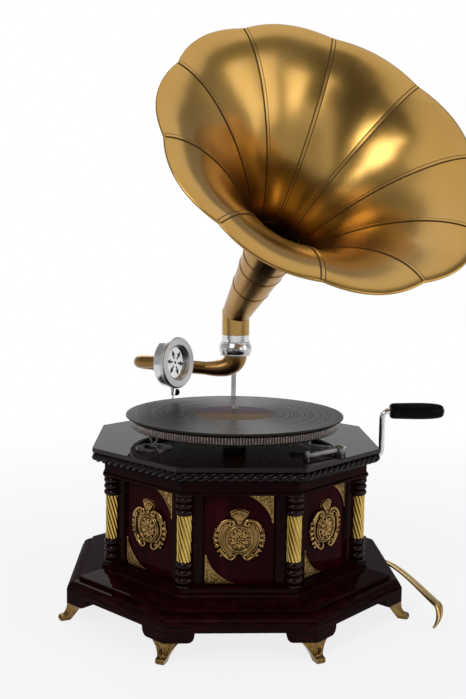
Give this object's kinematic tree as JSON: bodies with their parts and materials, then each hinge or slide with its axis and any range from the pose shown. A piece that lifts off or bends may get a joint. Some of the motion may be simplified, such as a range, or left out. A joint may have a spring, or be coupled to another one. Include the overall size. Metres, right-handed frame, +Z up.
{
  "type": "horn gramophone",
  "caption": "Table gramophone with a petalled brass horn over an octagonal carved mahogany case, wound by a side crank.",
  "frame": {"origin": "on the floor under the turntable's spindle, midway between the feet", "axes": "+Z up along the spindle, -Y to the front, +X to the crank's side"},
  "size_m": [0.469, 0.4094, 0.668],
  "materials": {
    "mahogany": "dark polished mahogany",
    "red_panel": "polished red mahogany",
    "brass": "polished, a little aged",
    "horn_brass": "lacquered sheet, aged",
    "chrome": "nickel bright",
    "steel": "bright steel",
    "felt": "felt",
    "shellac": "grooved shellac",
    "label_paper": "plain paper",
    "mica": "mica sheet",
    "gasket_rubber": "soft rubber",
    "ebonite": "black ebonite"
  },
  "bodies": {
    "case": {"feet": "brass", "corner_blocks": "mahogany", "plinth": "mahogany", "bottom_board": "mahogany", "corner_posts": "mahogany", "side_panels": "red_panel", "column_turnings": "mahogany", "column_spirals": "brass", "spandrels": "brass", "cartouches": "brass", "frieze": "mahogany", "top_board": "mahogany", "rope_moulding": "mahogany", "rear_bracket": "chrome", "bracket_screws": "brass", "collar": "chrome", "side_stay": "brass", "crank_bush": "brass", "motor_plate": "steel", "lower_plate": "steel", "motor_pillars": "steel", "shaft_bearing": "steel", "speed_dial": "steel", "brake_post": "steel"},
    "turntable": {"platter": "steel", "felt_mat": "felt", "record": "shellac", "record_label": "label_paper", "spindle": "steel", "spindle_gears": "brass"},
    "tone_arm": {"arm_stem": "chrome", "arm_elbow": "brass", "arm_tube": "brass"},
    "gooseneck": {"gooseneck_tube": "brass", "sound_box_case": "chrome", "sound_box_ring": "chrome", "sound_box_grille": "chrome", "diaphragm": "mica", "gaskets": "gasket_rubber", "stylus_bar": "chrome", "needle": "steel"},
    "needle_clamp": {"needle_screw": "ebonite"},
    "crank": {"crank_rod": "chrome", "winding_shaft": "steel"},
    "crank_handle": {"crank_grip": "ebonite"},
    "winding_arbor": {"barrel_arbor": "steel", "crown_wheel": "brass"},
    "barrel": {"spring_barrel": "brass", "barrel_cap": "brass", "mainspring": "steel"},
    "intermediate": {"intermediate_wheel": "brass"},
    "governor": {"governor_spindle": "steel", "governor_weights": "brass"},
    "speed_control": {"speed_lever": "steel"},
    "brake": {"brake_lever": "steel"},
    "horn": {"horn_ferrule": "chrome", "horn_elbow": "horn_brass", "horn_neck": "horn_brass", "horn_bell": "horn_brass"}
  },
  "joints": [
    {"name": "turntable_spin", "type": "hinge", "parent": "case", "child": "turntable", "pos_m": [0, 0, 0.2], "axis": [0, 0, 1], "continuous": true},
    {"name": "arm_swing", "type": "hinge", "parent": "case", "child": "tone_arm", "pos_m": [0.007, 0.15, 0.274], "axis": [0, 0, 1], "range_deg": [-35, 44]},
    {"name": "gooseneck_lift", "type": "hinge", "parent": "tone_arm", "child": "gooseneck", "pos_m": [-0.103, 0.15, 0.25763], "axis": [-0.9968, 0, 0.0802], "range_deg": [0, 100]},
    {"name": "needle_screw_turn", "type": "hinge", "parent": "gooseneck", "child": "needle_clamp", "pos_m": [-0.07383, 0.08662, 0.22983], "axis": [0.5877, 0.784, -0.2002], "range_deg": [-360, 0]},
    {"name": "crank_turn", "type": "hinge", "parent": "case", "child": "crank", "pos_m": [0.15, 0, 0.168], "axis": [1, 0, 0], "continuous": true},
    {"name": "grip_spin", "type": "hinge", "parent": "crank", "child": "crank_handle", "pos_m": [0.215, 0, 0.222], "axis": [1, 0, 0], "continuous": true},
    {"name": "arbor_turn", "type": "hinge", "parent": "case", "child": "winding_arbor", "pos_m": [0.075, 0, 0.14], "axis": [0, 0, 1], "continuous": true},
    {"name": "barrel_turn", "type": "hinge", "parent": "case", "child": "barrel", "pos_m": [0.075, 0, 0.134], "axis": [0, 0, 1], "continuous": true},
    {"name": "intermediate_turn", "type": "hinge", "parent": "case", "child": "intermediate", "pos_m": [0.03025, 0.01228, 0.11], "axis": [0, 0, 1], "continuous": true},
    {"name": "governor_turn", "type": "hinge", "parent": "case", "child": "governor", "pos_m": [-0.02732, -0.01274, 0.13], "axis": [0, 0, 1], "continuous": true},
    {"name": "speed_turn", "type": "hinge", "parent": "case", "child": "speed_control", "pos_m": [-0.092, -0.066, 0.19], "axis": [0, 0, 1], "range_deg": [-35, 35]},
    {"name": "brake_turn", "type": "hinge", "parent": "case", "child": "brake", "pos_m": [0.11, -0.094, 0.195], "axis": [0, 0, 1], "range_deg": [-10, 7]},
    {"name": "horn_swivel", "type": "hinge", "parent": "case", "child": "horn", "pos_m": [0.007, 0.15, 0.285], "axis": [0, 0, 1], "range_deg": [-90, 90]}
  ],
  "couplings": [
    {"joint": "arbor_turn", "follows": "crank_turn", "ratio": 0.33333},
    {"joint": "barrel_turn", "follows": "turntable_spin", "ratio": 0.046875},
    {"joint": "intermediate_turn", "follows": "turntable_spin", "ratio": -0.3},
    {"joint": "governor_turn", "follows": "turntable_spin", "ratio": -5}
  ]
}
